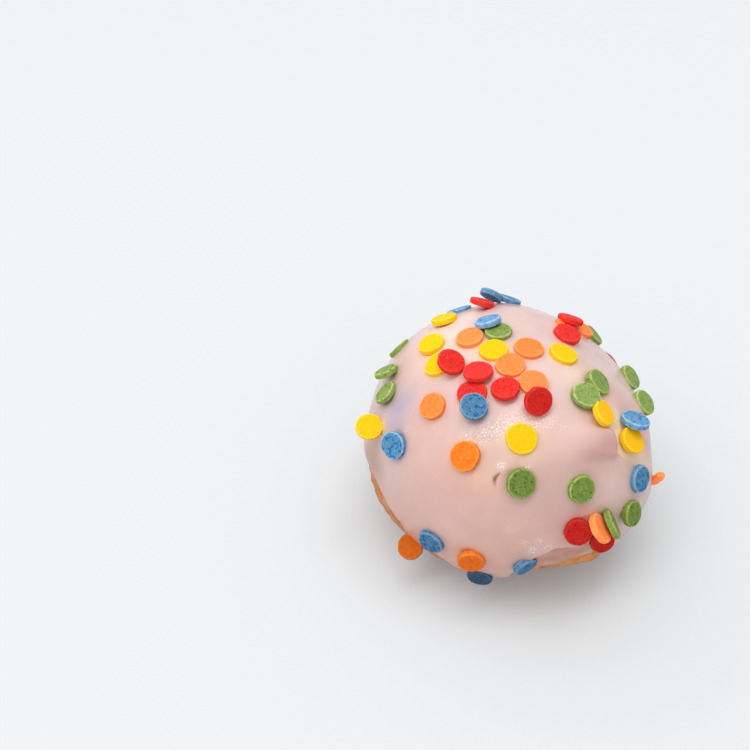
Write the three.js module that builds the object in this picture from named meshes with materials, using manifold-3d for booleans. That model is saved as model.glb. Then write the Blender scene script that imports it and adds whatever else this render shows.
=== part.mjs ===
import * as THREE from 'three';
import { mergeVertices } from 'three/addons/utils/BufferGeometryUtils.js';
import Module from 'manifold-3d';

// A glazed cream puff with confetti sprinkles. Millimetres, +Z up, the shown side faces -Y, and the
// origin is on the floor under the puff's middle. A place on the puff is a bearing and a height in
// degrees, both seen from the middle of its widest girth: bearing 0 faces -Y and grows towards +X,
// and height 90 is the crown.

// ---- driving dimensions ----

// the puff with its icing: an uneven round bun, pressed flat where it stands
const puff = { halfWidth: 32.2, girthLevel: 22, crown: 28.5, keel: 24, crownPower: 2.12, keelPower: 2.15 };
const foot = { blend: 2, press: 1.2, smoothFrom: -62, smoothTo: -45 };

// what makes it uneven: bearing, height, spread in degrees, and how far it swells or sinks
const swellings = [
  [108, 46, 28, -2.4],
  [92, 24, 18, -1.2],
  [76, 8, 14, -1.0],
  [60, 5, 9, 0.4],
  [32, -22, 10, 1.0],
  [10, -30, 16, -1.2],
  [-22, -22, 16, 0.5],
  [-62, -14, 16, 0.4],
  [-84, 0, 20, 0.6],
  [-112, 22, 18, 0.9],
  [-138, 38, 16, 0.5],
  [-120, 48, 18, 0.6],
  [-172, 56, 22, 1.25],
];

// the icing: its thickness on the crown, its rounded lip, and the gap to the crust under it
const icing = { thickness: 1.6, lip: 0.25, lipSpread: 4, levelEdge: -6, dive: 6, diveAngle: 4, gap: 0.3 };

// its lower edge round the puff: bearing and height, eased from one to the next, tongues and all
const icingEdge = [
  [-180, 1], [-166, -9], [-152, 4], [-139, 0], [-127, -12], [-114, 3], [-100, 5], [-88, 3], [-70, 1],
  [-63, -1], [-57, -4], [-51, -7], [-49, -17], [-44, -18], [-41, -14], [-37, -14], [-32, -16], [-25, -25],
  [-12, -24], [-4, -18], [3, -13], [9, -12], [14, -12], [19, -8], [30, -9], [38, -12], [46, -15],
  [60, -11], [72, -4], [84, 2], [95, -3], [106, -14], [118, -1], [130, 5], [142, -3], [153, -11],
  [166, 2], [180, 1],
];

// the browned crust where it is bare: set back from the icing, with crags and folds
const crust = { setBack: 0.35, cragDepth: 0.65, tuckUp: 1, tuckDown: 5 };

// a confetti sprinkle: a flat disc that has sunk a little into the icing
const confetti = { thickness: 1.3, sunk: 0.35, sides: 10, hinge: 0.4 };

// where each lies on the shown side: bearing, height, diameter, and for those that don't lie flat
// the lean, the way it leans (0 up the puff, 90 to the right seen from outside), and the lift
const shownConfetti = {
  yellow: [
    [-7, 45, 6], [-102.3, 52.3, 5.7, 6, 24], [-81, 54, 5.7], [-68, 76, 5.9], [71, 73.2, 5.9],
    [41.1, 47.5, 5.5, 19, 116], [49, 33, 5.6, 11, 7], [-129.1, 51.4, 5.6, 10, -70], [-77, 19, 5.8, 63, 27],
  ],
  orange: [
    [15, 85, 6], [2, 67, 5.8], [132.1, 45.8, 5.6, 13, -35], [-30.3, 34.6, 6, 7, -68],
    [22.2, 12, 5.9, 58, 48, 0.3], [-20, -6, 5.7, 13, 66], [-46, -16.5, 5.6, 88, 13, -0.8],
    [-103, 68, 5.8], [-27, 74, 6], [-58, 43.5, 5.6], [133, 58, 5.6],
  ],
  red: [
    [-156.9, 56.9, 5.4, 24, -76], [2.2, 58, 5.7, 34, 155, 0.3], [117.6, 66.8, 5.9, 13, -36],
    [136.7, 54.1, 5.6, 15, 58, 0.9], [126, 16, 5.3], [15.5, 11, 5.5, 22, -49],
    [26, 2.5, 5, 23, -52], [-72, 59, 5.8, 36, 35, 0.2], [-50, 64, 5.9, 18, -30, 0.2],
    [-22, 62.5, 5.6, 14, -47], [-43, 56, 5.9],
  ],
  green: [
    [131.6, 32.9, 5.3, 20, -74], [102.4, 27.8, 5.7, 21, -59, -0.3], [80.8, 29.9, 5.6, 25, -46, -0.2],
    [58.2, 56.3, 5.6, 11, -180], [38.4, 56, 5.6, 8, -35, 0.5], [-6, 29.9, 5.7, 14, 81], [18, 26, 5.5],
    [39.8, 7.8, 5.4, 18, 17], [27.7, 11, 5.9, 62, 63, -0.2], [-97, 31.7, 5.3, 33, -44],
    [-117, 30.7, 5.4, 9, -106, -0.6], [-86.1, 29.6, 5.4, 15, -49], [-121.6, 78.5, 5.6, 3, -87],
  ],
  blue: [
    [-147.5, 47.3, 5.6, 2, -91, -0.4], [-168.1, 51, 5.4, 34, -106, 0.4], [179.8, 48.7, 5.3, 18, -59, -0.2],
    [55, 37.6, 5.6, 42, 20], [-62.1, 22.7, 5.7, 17, 77], [46.6, 18.4, 5.6, 4, -46],
    [-0.6, -7.2, 5.1, 24, 92, -1.2], [-16.7, -20, 5.3, 21, -2, -0.4], [-36, -5.5, 5.5, 7, 29, -0.2],
    [-130.9, 72.6, 5.5, 20, -141, 0.4], [-36.1, 51.6, 5.5, 15, 61, 0.5],
  ],
};

// the rest are strewn where the icing faces well away from the viewpoint: how many, how far apart,
// how far from the icing's edge and the crown, and how evenly over the height
const farConfetti = {
  count: 15, seed: 37, spacing: 6.6, margin: 6, top: 78, lowest: -0.1, viewpoint: [-31, -136, 156],
  facingAway: 0.37, smallest: 5.3, spread: 0.8, mostLean: 8,
};

// a broken bit of a sprinkle, stuck to the right cheek, its middle raised off the icing
const brokenBit = { bearing: 63, height: 6, width: 1.6, length: 3.4, depth: 1.6, turn: 35, raised: 0.8 };

// how finely each surface is faceted, and where the facets of the flat foot meet, off the origin
const facets = { crust: [60, 22], icing: [60, 16], flatFrom: -64, footHub: [-3.9, -3.15] };

const finish = {
  crust: { color: 0xb4763a, roughness: 0.8 },
  icing: { color: 0xdfb0a4, roughness: 0.35 },
};

// ---- the puff's form ----

const wasm = await Module();
wasm.setup();

const radians = THREE.MathUtils.degToRad;
const mix = THREE.MathUtils.lerp;
const ease = THREE.MathUtils.smoothstep;

function direction(bearing, height) {
  const b = radians(bearing);
  const h = radians(height);
  return new THREE.Vector3(Math.cos(h) * Math.sin(b), -Math.cos(h) * Math.cos(b), Math.sin(h));
}

// a superellipse above and below the girth, with the swellings added
function bunRadius(bearing, height) {
  const h = radians(height);
  const power = height >= 0 ? puff.crownPower : puff.keelPower;
  const reach = height >= 0 ? puff.crown : puff.keel;
  const across = (Math.cos(h) / puff.halfWidth) ** power;
  const upright = (Math.abs(Math.sin(h)) / reach) ** power;
  let radius = (across + upright) ** (-1 / power);
  const here = direction(bearing, height);
  for (const [atBearing, atHeight, spread, amount] of swellings) {
    const apart = THREE.MathUtils.radToDeg(here.angleTo(direction(atBearing, atHeight)));
    radius += amount * Math.exp(-((apart / spread) ** 2));
  }
  return radius;
}

// the smaller of the bun's radius and the floor's, with the corner between them rounded
function standing(radius, height, depth) {
  if (height > -1) {
    return radius;
  }
  const floor = depth / -Math.sin(radians(height));
  const share = THREE.MathUtils.clamp(0.5 + (0.5 * (floor - radius)) / foot.blend, 0, 1);
  return mix(floor, radius, share) - foot.blend * share * (1 - share);
}

function glazedRadius(bearing, height) {
  return standing(bunRadius(bearing, height), height, puff.girthLevel);
}

function edgeHeight(bearing) {
  const after = icingEdge.findIndex((point) => point[0] >= bearing);
  const [toBearing, toHeight] = icingEdge[Math.max(after, 1)];
  const [fromBearing, fromHeight] = icingEdge[Math.max(after, 1) - 1];
  return mix(fromHeight, toHeight, ease(bearing, fromBearing, toBearing));
}

function crags(bearing, height) {
  const b = radians(bearing);
  const h = radians(height);
  const folds = Math.sin(6 * b + 2.2 * Math.sin(3 * b + 1) + 5 * h);
  const ridges = Math.sin(11 * b - 9 * h + 1.7 * Math.sin(5 * h + 2 * b));
  return crust.cragDepth * (0.6 * folds + 0.4 * ridges) * ease(height, foot.smoothFrom, foot.smoothTo);
}

function crustRadius(bearing, height) {
  const edge = edgeHeight(bearing);
  const covered = ease(height, edge - crust.tuckDown, edge + crust.tuckUp);
  const inset = mix(crust.setBack - crags(bearing, height), icing.thickness, covered);
  return standing(bunRadius(bearing, height) - inset, height, puff.girthLevel + foot.press);
}

function pointAt(bearing, height, radius) {
  const point = direction(bearing, height).multiplyScalar(radius);
  point.z += puff.girthLevel;
  return point;
}

// ---- solids ----

function closedMesh(geometry) {
  geometry.deleteAttribute('normal');
  geometry.deleteAttribute('uv');
  return mergeVertices(geometry);
}

// a sphere's rings and meridians, each corner moved to the place that place(bearing, row) gives
function wrappedSphere([meridians, rings], place) {
  const geometry = new THREE.SphereGeometry(1, meridians, rings);
  const corners = geometry.getAttribute('position');
  for (let i = 0; i < corners.count; i += 1) {
    const bearing = -180 + (360 * (i % (meridians + 1))) / meridians;
    const row = Math.floor(i / (meridians + 1)) / rings;
    const { x, y, z } = place(bearing, row);
    corners.setXYZ(i, x, y, z);
  }
  return closedMesh(geometry);
}

// the crust, or the crust grown by a gap; its rings end on the flat foot, closed by one last fan
function crustGeometry(grown) {
  const lastRing = (facets.crust[1] - 1) / facets.crust[1];
  const [hubX, hubY] = facets.footHub;
  return wrappedSphere(facets.crust, (bearing, row) => {
    if (row === 1) {
      return new THREE.Vector3(hubX, hubY, -grown);
    }
    const height = mix(90, facets.flatFrom, row / lastRing);
    const point = pointAt(bearing, height, crustRadius(bearing, height) + grown);
    point.z = Math.max(point.z, -grown);
    return point;
  });
}

// the icing's outer face down to its edge, its lip, and a plug that dives into the crust
function icingBlockGeometry() {
  const rings = facets.icing[1];
  const edgeRing = rings - 2;
  return wrappedSphere(facets.icing, (bearing, row) => {
    const ring = Math.round(row * rings);
    const edge = edgeHeight(bearing);
    if (ring === rings) {
      return pointAt(bearing, -90, puff.girthLevel - icing.dive);
    }
    if (ring > edgeRing) {
      const height = edge - icing.diveAngle;
      return pointAt(bearing, height, glazedRadius(bearing, height) - icing.dive);
    }
    const down = ring / edgeRing;
    const height = mix(90, mix(icing.levelEdge, edge, down ** 3), down);
    const lip = icing.lip * Math.exp(-(((height - edge) / icing.lipSpread) ** 2));
    return pointAt(bearing, height, glazedRadius(bearing, height) + lip);
  });
}

function solid(geometry) {
  const vertProperties = new Float32Array(geometry.getAttribute('position').array);
  const triVerts = new Uint32Array(geometry.getIndex().array);
  return new wasm.Manifold(new wasm.Mesh({ numProp: 3, vertProperties, triVerts }));
}

function geometryOf(body) {
  const mesh = body.getMesh();
  const geometry = new THREE.BufferGeometry();
  geometry.setAttribute('position', new THREE.BufferAttribute(mesh.vertProperties, 3));
  geometry.setIndex(new THREE.BufferAttribute(mesh.triVerts, 1));
  geometry.computeVertexNormals();
  return geometry;
}

// ---- sprinkles ----

// the glazed surface at a place: the point, its outward normal, and the way up and right along it
function surfaceAt(bearing, height) {
  const step = 0.3;
  const at = (b, h) => pointAt(b, h, glazedRadius(b, h));
  const along = at(bearing + step, height).sub(at(bearing - step, height));
  const rise = at(bearing, height + step).sub(at(bearing, height - step));
  const normal = along.cross(rise).normalize();
  const up = new THREE.Vector3(0, 0, 1).addScaledVector(normal, -normal.z).normalize();
  return { point: at(bearing, height), normal, up, right: up.clone().cross(normal) };
}

function confettiSolid([bearing, height, diameter, lean = 0, towards = 0, lift = 0]) {
  const { point, normal, up, right } = surfaceAt(bearing, height);
  const tilt = radians(lean);
  const side = up.multiplyScalar(Math.cos(radians(towards)));
  side.addScaledVector(right, Math.sin(radians(towards)));
  const axis = normal.clone().multiplyScalar(Math.cos(tilt)).addScaledVector(side, Math.sin(tilt));
  const stand = confetti.thickness / 2 - confetti.sunk + confetti.hinge * diameter * Math.sin(tilt);
  const disc = new THREE.CylinderGeometry(diameter / 2, diameter / 2, confetti.thickness, confetti.sides);
  disc.applyQuaternion(new THREE.Quaternion().setFromUnitVectors(new THREE.Vector3(0, 1, 0), axis));
  const centre = point.addScaledVector(normal, stand + lift);
  disc.translate(centre.x, centre.y, centre.z);
  return solid(closedMesh(disc));
}

// a plain multiplicative random sequence from 0 to 1, the same on every run
function randomSequence(seed) {
  let state = seed;
  return () => {
    state = (state * 16807) % 2147483647;
    return state / 2147483647;
  };
}

function strewnConfetti() {
  const random = randomSequence(farConfetti.seed);
  const viewpoint = new THREE.Vector3(...farConfetti.viewpoint);
  const near = Object.values(shownConfetti).flat();
  const placed = near.map(([bearing, height]) => surfaceAt(bearing, height).point);
  const strewn = [];
  while (strewn.length < farConfetti.count) {
    const bearing = -180 + 360 * random();
    const height = THREE.MathUtils.radToDeg(Math.asin(mix(farConfetti.lowest, 1, random())));
    const size = farConfetti.smallest + farConfetti.spread * random();
    const lean = farConfetti.mostLean * random() * random();
    const towards = 360 * random();
    const onIcing = height > edgeHeight(bearing) + farConfetti.margin && height < farConfetti.top;
    const { point, normal } = surfaceAt(bearing, height);
    const toViewpoint = viewpoint.clone().sub(point).normalize();
    const hidden = normal.dot(toViewpoint) < -farConfetti.facingAway;
    const clear = placed.every((other) => other.distanceTo(point) > farConfetti.spacing);
    if (hidden && onIcing && clear) {
      strewn.push([bearing, height, size, lean, towards]);
      placed.push(point);
    }
  }
  return strewn;
}

function brokenBitSolid() {
  const { bearing, height, width, length, depth, turn, raised } = brokenBit;
  const { point, normal } = surfaceAt(bearing, height);
  const bit = new THREE.BoxGeometry(width, depth, length);
  bit.rotateX(radians(turn));
  bit.applyQuaternion(new THREE.Quaternion().setFromUnitVectors(new THREE.Vector3(0, 1, 0), normal));
  const centre = point.addScaledVector(normal, raised);
  bit.translate(centre.x, centre.y, centre.z);
  return solid(closedMesh(bit));
}

// ---- the two nodes ----

function icingGeometry() {
  let body = solid(icingBlockGeometry());
  for (const place of [...Object.values(shownConfetti).flat(), ...strewnConfetti()]) {
    body = body.add(confettiSolid(place));
  }
  body = body.add(brokenBitSolid());
  return geometryOf(body.subtract(solid(crustGeometry(icing.gap))));
}

function node(name, geometry, { color, roughness }) {
  const mesh = new THREE.Mesh(geometry, new THREE.MeshStandardMaterial({ color, roughness, metalness: 0 }));
  mesh.name = name;
  return mesh;
}

const group = new THREE.Group();
group.add(node('choux', crustGeometry(0), finish.crust));
group.add(node('icing', icingGeometry(), finish.icing));

export default group;
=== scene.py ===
import math

import bpy
import mathutils
import numpy as np
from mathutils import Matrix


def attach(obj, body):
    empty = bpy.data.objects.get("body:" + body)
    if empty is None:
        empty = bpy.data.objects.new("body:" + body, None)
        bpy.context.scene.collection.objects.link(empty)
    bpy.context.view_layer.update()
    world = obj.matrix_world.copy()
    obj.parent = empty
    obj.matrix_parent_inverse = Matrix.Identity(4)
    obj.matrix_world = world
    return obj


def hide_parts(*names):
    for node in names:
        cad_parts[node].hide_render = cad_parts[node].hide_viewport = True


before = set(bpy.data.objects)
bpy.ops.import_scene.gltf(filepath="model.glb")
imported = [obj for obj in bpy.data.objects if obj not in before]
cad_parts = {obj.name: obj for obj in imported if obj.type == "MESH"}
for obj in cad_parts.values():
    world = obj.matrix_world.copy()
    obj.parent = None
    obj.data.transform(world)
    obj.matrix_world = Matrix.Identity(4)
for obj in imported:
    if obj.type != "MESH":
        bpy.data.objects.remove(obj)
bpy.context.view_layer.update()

mm = 0.001  # shapes are worked out in millimetres and stored in metres

# the puff with its icing, an uneven round bun pressed flat where it stands, as its solids have it
bun = {
    "halfWidth": 32.2, "girthLevel": 22.0, "crown": 28.5, "keel": 24.0,
    "crownPower": 2.12, "keelPower": 2.15, "footBlend": 2.0, "footPress": 1.2,
    # bearing, height, spread in degrees, and how far it swells or sinks
    "swellings": [
        (108, 46, 28, -2.4), (92, 24, 18, -1.2), (76, 8, 14, -1.0), (60, 5, 9, 0.4),
        (32, -22, 10, 1.0), (10, -30, 16, -1.2), (-22, -22, 16, 0.5), (-62, -14, 16, 0.4),
        (-84, 0, 20, 0.6), (-112, 22, 18, 0.9), (-138, 38, 16, 0.5), (-120, 48, 18, 0.6),
        (-172, 56, 22, 1.25),
    ],
    # the icing's lower edge: bearing and height, eased from one to the next
    "icingEdge": [
        (-180, 1), (-166, -9), (-152, 4), (-139, 0), (-127, -12), (-114, 3), (-100, 5), (-88, 3),
        (-70, 1), (-63, -1), (-57, -4), (-51, -7), (-49, -17), (-44, -18), (-41, -14), (-37, -14),
        (-32, -16), (-25, -25), (-12, -24), (-4, -18), (3, -13), (9, -12), (14, -12), (19, -8),
        (30, -9), (38, -12), (46, -15), (60, -11), (72, -4), (84, 2), (95, -3), (106, -14),
        (118, -1), (130, 5), (142, -3), (153, -11), (166, 2), (180, 1),
    ],
}


def linear(red, green, blue):
    # an sRGB colour from 0 to 255 as linear light
    share = np.array([red, green, blue]) / 255.0
    return np.where(share <= 0.04045, share / 12.92, ((share + 0.055) / 1.055) ** 2.4)


def mix(low, high, share):
    return low + (high - low) * share


def ease(value, low, high):
    # 0 below low, 1 above high, and a smooth S between them
    share = np.clip((value - low) / (high - low), 0.0, 1.0)
    return share * share * (3.0 - 2.0 * share)


def direction(bearing, height):
    # bearing 0 faces -Y and grows towards +X, height 90 is straight up
    b = np.radians(bearing)
    h = np.radians(height)
    return np.stack([np.cos(h) * np.sin(b), -np.cos(h) * np.cos(b), np.sin(h) + 0.0 * b], -1)


def nearness(bearing, height, atBearing, atHeight, spread):
    # a bell that is 1 at a place and falls off with the angle from it
    cosine = direction(bearing, height) @ direction(atBearing, atHeight)
    apart = np.degrees(np.arccos(np.clip(cosine, -1.0, 1.0)))
    return np.exp(-((apart / spread) ** 2))


def waves(points, size, seed, count=14):
    # a sum of sine waves in seeded random directions, each about size across, from about -1 to 1
    random = np.random.default_rng(seed)
    total = np.zeros(points.shape[:-1])
    for _ in range(count):
        way = random.normal(size=3)
        way *= 2.0 * math.pi / (size * random.uniform(0.7, 1.5) * np.linalg.norm(way))
        total += np.sin(points @ way + random.uniform(0.0, 2.0 * math.pi))
    return total / math.sqrt(count)


def withBells(value, bearing, height, bells):
    # value with a bell added at each place: bearing, height, spread, amount
    for atBearing, atHeight, spread, amount in bells:
        value = value + amount * nearness(bearing, height, atBearing, atHeight, spread)
    return value


def withWaves(points, layers, value=0.0):
    # value with waves added to it: amount, size, seed
    for amount, size, seed in layers:
        value = value + amount * waves(points, size, seed)
    return value


def bunRadius(bearing, height):
    # a superellipse above and below the girth, with the swellings added
    above = height >= 0.0
    power = np.where(above, bun["crownPower"], bun["keelPower"])
    reach = np.where(above, bun["crown"], bun["keel"])
    across = (np.cos(np.radians(height)) / bun["halfWidth"]) ** power
    upright = (np.abs(np.sin(np.radians(height))) / reach) ** power
    radius = (across + upright) ** (-1.0 / power)
    return withBells(radius, bearing, height, bun["swellings"])


def standing(radius, height, depth):
    # the smaller of the bun's radius and the floor's, with the corner between them rounded
    drop = np.maximum(-np.sin(np.radians(height)), 0.01)
    floor = depth / drop
    share = np.clip(0.5 + 0.5 * (floor - radius) / bun["footBlend"], 0.0, 1.0)
    lower = mix(floor, radius, share) - bun["footBlend"] * share * (1.0 - share)
    return np.where(height > -1.0, radius, lower)


def glazedRadius(bearing, height):
    return standing(bunRadius(bearing, height), height, bun["girthLevel"])


def throughPoints(bearing, points):
    # eased from one listed point to the next, and level outside them
    line = np.array(points, float)
    after = np.clip(np.searchsorted(line[:, 0], bearing, side="left"), 1, len(line) - 1)
    low = line[after - 1]
    high = line[after]
    return mix(low[..., 1], high[..., 1], ease(bearing, low[..., 0], high[..., 0]))


def edgeHeight(bearing):
    return throughPoints(bearing, bun["icingEdge"])


def pointAt(bearing, height, radius):
    # radius away from the middle of the girth
    point = direction(bearing, height) * np.asarray(radius)[..., None]
    point[..., 2] += bun["girthLevel"]
    return point


def surfaceAt(bearing, height):
    # the glazed surface: the point, its outward normal, and the way up and right along it
    step = 0.3
    point = pointAt(bearing, height, glazedRadius(bearing, height))
    along = pointAt(bearing + step, height, glazedRadius(bearing + step, height))
    along = along - pointAt(bearing - step, height, glazedRadius(bearing - step, height))
    rise = pointAt(bearing, height + step, glazedRadius(bearing, height + step))
    rise = rise - pointAt(bearing, height - step, glazedRadius(bearing, height - step))
    normal = np.cross(along, rise)
    normal /= np.linalg.norm(normal, axis=-1, keepdims=True)
    up = np.array([0.0, 0.0, 1.0]) - normal[..., 2:3] * normal
    up /= np.linalg.norm(up, axis=-1, keepdims=True)
    return point, normal, up, np.cross(up, normal)


def inScene(name, data):
    thing = bpy.data.objects.new(name, data)
    bpy.context.scene.collection.objects.link(thing)
    return thing


def closedSurface(name, rings, first, last):
    # rings of points, closed round and at both ends, for one or more copies of a shape:
    # rings is copies by rings by points round, and first and last are each copy's end points
    copies, rows, around, _ = rings.shape
    points = np.concatenate([rings.reshape(-1, 3), first, last]) * mm
    row, column = np.meshgrid(np.arange(rows - 1), np.arange(around), indexing="ij")
    beside = (column + 1) % around
    corners = [row * around + column, (row + 1) * around + column]
    corners += [(row + 1) * around + beside, row * around + beside]
    quads = np.stack(corners, -1).reshape(1, -1, 4)
    quads = quads + (np.arange(copies) * rows * around)[:, None, None]
    here = np.arange(around)[None, :] + (np.arange(copies) * rows * around)[:, None]
    there = np.roll(here, -1, axis=1)
    top = np.broadcast_to((copies * rows * around + np.arange(copies))[:, None], here.shape)
    bottom = top + copies
    under = (rows - 1) * around
    fans = [np.stack([top, here, there], -1), np.stack([bottom, there + under, here + under], -1)]
    faces = quads.reshape(-1, 4).tolist() + np.concatenate(fans).reshape(-1, 3).tolist()
    mesh = bpy.data.meshes.new(name)
    mesh.from_pydata(points.tolist(), [], faces)
    mesh.polygons.foreach_set("use_smooth", np.ones(len(mesh.polygons), bool))
    mesh.update()
    return inScene(name, mesh)


def tinted(colour, other, share):
    # a colour in linear light with an sRGB one laid over it by its share at each point
    return mix(colour, linear(*other), share[..., None])


def addTint(piece, colours, endColour):
    # a colour in linear light for each point, and an sRGB one for the two end points
    attribute = piece.data.attributes.new("tint", "FLOAT_COLOR", "POINT")
    four = np.ones((len(piece.data.vertices), 4), np.float32)
    four[:, :3] = np.concatenate([colours.reshape(-1, 3), [linear(*endColour)] * 2])
    attribute.data.foreach_set("color", four.ravel())


def addValue(piece, name, values):
    attribute = piece.data.attributes.new(name, "FLOAT", "POINT")
    attribute.data.foreach_set("value", np.asarray(values, np.float32).ravel())


# the confetti: flat discs with rounded rims, sunk a little into the icing
confetti = {
    "thickness": 1.3, "sunk": 0.35, "hinge": 0.4, "rim": 0.3, "ribs": 0.035, "around": 108,
    "faceRings": (1.9, 0.42),
    # the painted highlight along the rim where the face rounds over, ring by ring from one face to the
    # other
    "rimHighlightLine": [0.0, 0.0, 0.35, 0.9, 1.0, 0.8, 0.35, 0.15, 0.35, 0.8, 1.0, 0.9, 0.35, 0.0, 0.0],
    # waves in the outline: size of each as a share of the radius, and how many go round
    "wobble": [(0.012, 2), (0.009, 3), (0.004, 9), (0.003, 17)],
    "chipWidth": 0.22, "chipDepth": 0.16, "rimReach": 0.8,
    # how much a disc's tone varies at random, and the heights between which painted shade darkens it
    # towards the floor
    "toneSpread": (0.94, 1.06), "lowFrom": -6.0, "lowTo": 24.0,
    # painted light and shade on a disc: its tone facing the side, facing up, and how much darker low
    # down
    "shadedFacingSide": 0.76, "litFacingUp": 1.12, "shadedLowDown": 0.4,
    # discs given painted shade or painted light, darker or lighter: bearing, height, and share of that
    # tone
    "paintedLightAndShade": [
        (2.2, 58, 0.95), (-36.1, 51.6, 0.64), (-16.7, -20, 0.55), (-0.6, -7.2, 1.02),
        (-6, 29.9, 0.88), (-168.1, 51, 0.85), (179.8, 48.7, 0.8), (-46, -16.5, 0.84),
        (15.5, 11, 0.78), (-20, -6, 1.14), (22.2, 12, 1.12), (41.1, 47.5, 1.12), (49, 33, 0.95),
        (-97, 31.7, 1.06), (102.4, 27.8, 1.1), (80.8, 29.9, 1.1), (18, 26, 0.95),
    ],
    # where each lies: bearing, height, diameter, and for those that don't lie flat the lean,
    # the way it leans (0 up the puff, 90 to the right seen from outside), and the lift.
    # Open fault: most of these rows come from another program's fit
    "yellow": [
        (-7, 45, 6), (-102.3, 52.3, 5.7, 6, 24), (-81, 54, 5.7), (-68, 76, 5.9), (71, 73.2, 5.9),
        (41.1, 47.5, 5.5, 19, 116), (49, 33, 5.6, 11, 7), (-129.1, 51.4, 5.6, 10, -70),
        (-77, 19, 5.8, 63, 27),
    ],
    "orange": [
        (15, 85, 6), (2, 67, 5.8), (132.1, 45.8, 5.6, 13, -35), (-30.3, 34.6, 6, 7, -68),
        (22.2, 12, 5.9, 58, 48, 0.3), (-20, -6, 5.7, 13, 66), (-46, -16.5, 5.6, 88, 13, -0.8),
        (-103, 68, 5.8), (-27, 74, 6), (-58, 43.5, 5.6), (133, 58, 5.6),
    ],
    "red": [
        (-156.9, 56.9, 5.4, 24, -76), (2.2, 58, 5.7, 34, 155, 0.3), (117.6, 66.8, 5.9, 13, -36),
        (136.7, 54.1, 5.6, 15, 58, 0.9), (126, 16, 5.3), (15.5, 11, 5.5, 22, -49),
        (26, 2.5, 5, 23, -52), (-72, 59, 5.8, 36, 35, 0.2), (-50, 64, 5.9, 18, -30, 0.2),
        (-22, 62.5, 5.6, 14, -47), (-43, 56, 5.9),
    ],
    "green": [
        (131.6, 32.9, 5.3, 20, -74), (102.4, 27.8, 5.7, 21, -59, -0.3),
        (80.8, 29.9, 5.6, 25, -46, -0.2), (58.2, 56.3, 5.6, 11, -180), (38.4, 56, 5.6, 8, -35, 0.5),
        (-6, 29.9, 5.7, 14, 81), (18, 26, 5.5), (39.8, 7.8, 5.4, 18, 17),
        (27.7, 11, 5.9, 62, 63, -0.2), (-97, 31.7, 5.3, 33, -44),
        (-117, 30.7, 5.4, 9, -106, -0.6), (-86.1, 29.6, 5.4, 15, -49), (-121.6, 78.5, 5.6, 3, -87),
    ],
    "blue": [
        (-147.5, 47.3, 5.6, 2, -91, -0.4), (-168.1, 51, 5.4, 34, -106, 0.4),
        (179.8, 48.7, 5.3, 18, -59, -0.2), (55, 37.6, 5.6, 42, 20), (-62.1, 22.7, 5.7, 17, 77),
        (46.6, 18.4, 5.6, 4, -46),
        (-0.6, -7.2, 5.1, 24, 92, -1.2), (-16.7, -20, 5.3, 21, -2, -0.4),
        (-36, -5.5, 5.5, 7, 29, -0.2), (-130.9, 72.6, 5.5, 20, -141, 0.4),
        (-36.1, 51.6, 5.5, 15, 61, 0.5),
    ],
    # the rest are strewn where the icing faces well away from the viewpoint
    "far": {
        "count": 15, "seed": 37, "spacing": 6.6, "margin": 6, "top": 78, "lowest": -0.1,
        "viewpoint": (-31, -136, 156), "facingAway": 0.37, "smallest": 5.3, "spread": 0.8,
        "mostLean": 8, "draws": 1200,
    },
}
kinds = ["yellow", "orange", "red", "green", "blue"]


def randomSequence(seed):
    # a plain multiplicative sequence from 0 to 1
    state = seed
    while True:
        state = (state * 16807) % 2147483647
        yield state / 2147483647


def strewnConfetti():
    # drawn one after another, and kept where the icing is out of view and free
    far = confetti["far"]
    numbers = np.fromiter(randomSequence(far["seed"]), float, 6 * far["draws"]).reshape(-1, 6)
    bearing = -180 + 360 * numbers[:, 0]
    height = np.degrees(np.arcsin(mix(far["lowest"], 1, numbers[:, 1])))
    size = far["smallest"] + far["spread"] * numbers[:, 2]
    lean = far["mostLean"] * numbers[:, 3] * numbers[:, 4]
    point, normal, _, _ = surfaceAt(bearing, height)
    away = np.array(far["viewpoint"]) - point
    away /= np.linalg.norm(away, axis=-1, keepdims=True)
    hidden = (normal * away).sum(-1) < -far["facingAway"]
    onIcing = (height > edgeHeight(bearing) + far["margin"]) & (height < far["top"])
    near = np.array([place[:2] for kind in kinds for place in confetti[kind]], float)
    placed = list(surfaceAt(near[:, 0], near[:, 1])[0])
    strewn = []
    for turn in np.flatnonzero(hidden & onIcing):
        free = min(np.linalg.norm(other - point[turn]) for other in placed) > far["spacing"]
        if free and len(strewn) < far["count"]:
            strewn.append((bearing[turn], height[turn], size[turn], lean[turn], 360 * numbers[turn, 5]))
            placed.append(point[turn])
    return strewn


def confettiPlaces():
    # every disc as bearing, height, diameter, lean, way, lift, and the number of its kind
    rows = []
    for number, kind in enumerate(kinds):
        rows += [tuple(place) + (0,) * (6 - len(place)) + (number,) for place in confetti[kind]]
    for turn, place in enumerate(strewnConfetti()):
        rows.append(tuple(place) + (0, (turn * 3 + turn // 4) % len(kinds)))
    return np.array(rows, float)


def confettiPoses(places):
    # the middle of each disc and the three directions of its own frame, the last one its axis
    bearing, height, diameter, lean, towards, lift = places[:, :6].T
    point, normal, up, right = surfaceAt(bearing, height)
    tilt = np.radians(lean)[:, None]
    way = np.radians(towards)[:, None]
    side = up * np.cos(way) + right * np.sin(way)
    axis = normal * np.cos(tilt) + side * np.sin(tilt)
    hinge = confetti["hinge"] * diameter * np.sin(tilt[:, 0])
    stand = confetti["thickness"] / 2 - confetti["sunk"] + hinge + lift
    across = np.cross(axis, normal + 0.3 * up + 0.2 * right)
    across /= np.linalg.norm(across, axis=-1, keepdims=True)
    return point + normal * stand[:, None], across, np.cross(axis, across), axis


places = confettiPlaces()
middles, acrosses, alongs, axes = confettiPoses(places)
print("confetti placed:", len(places))


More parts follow.
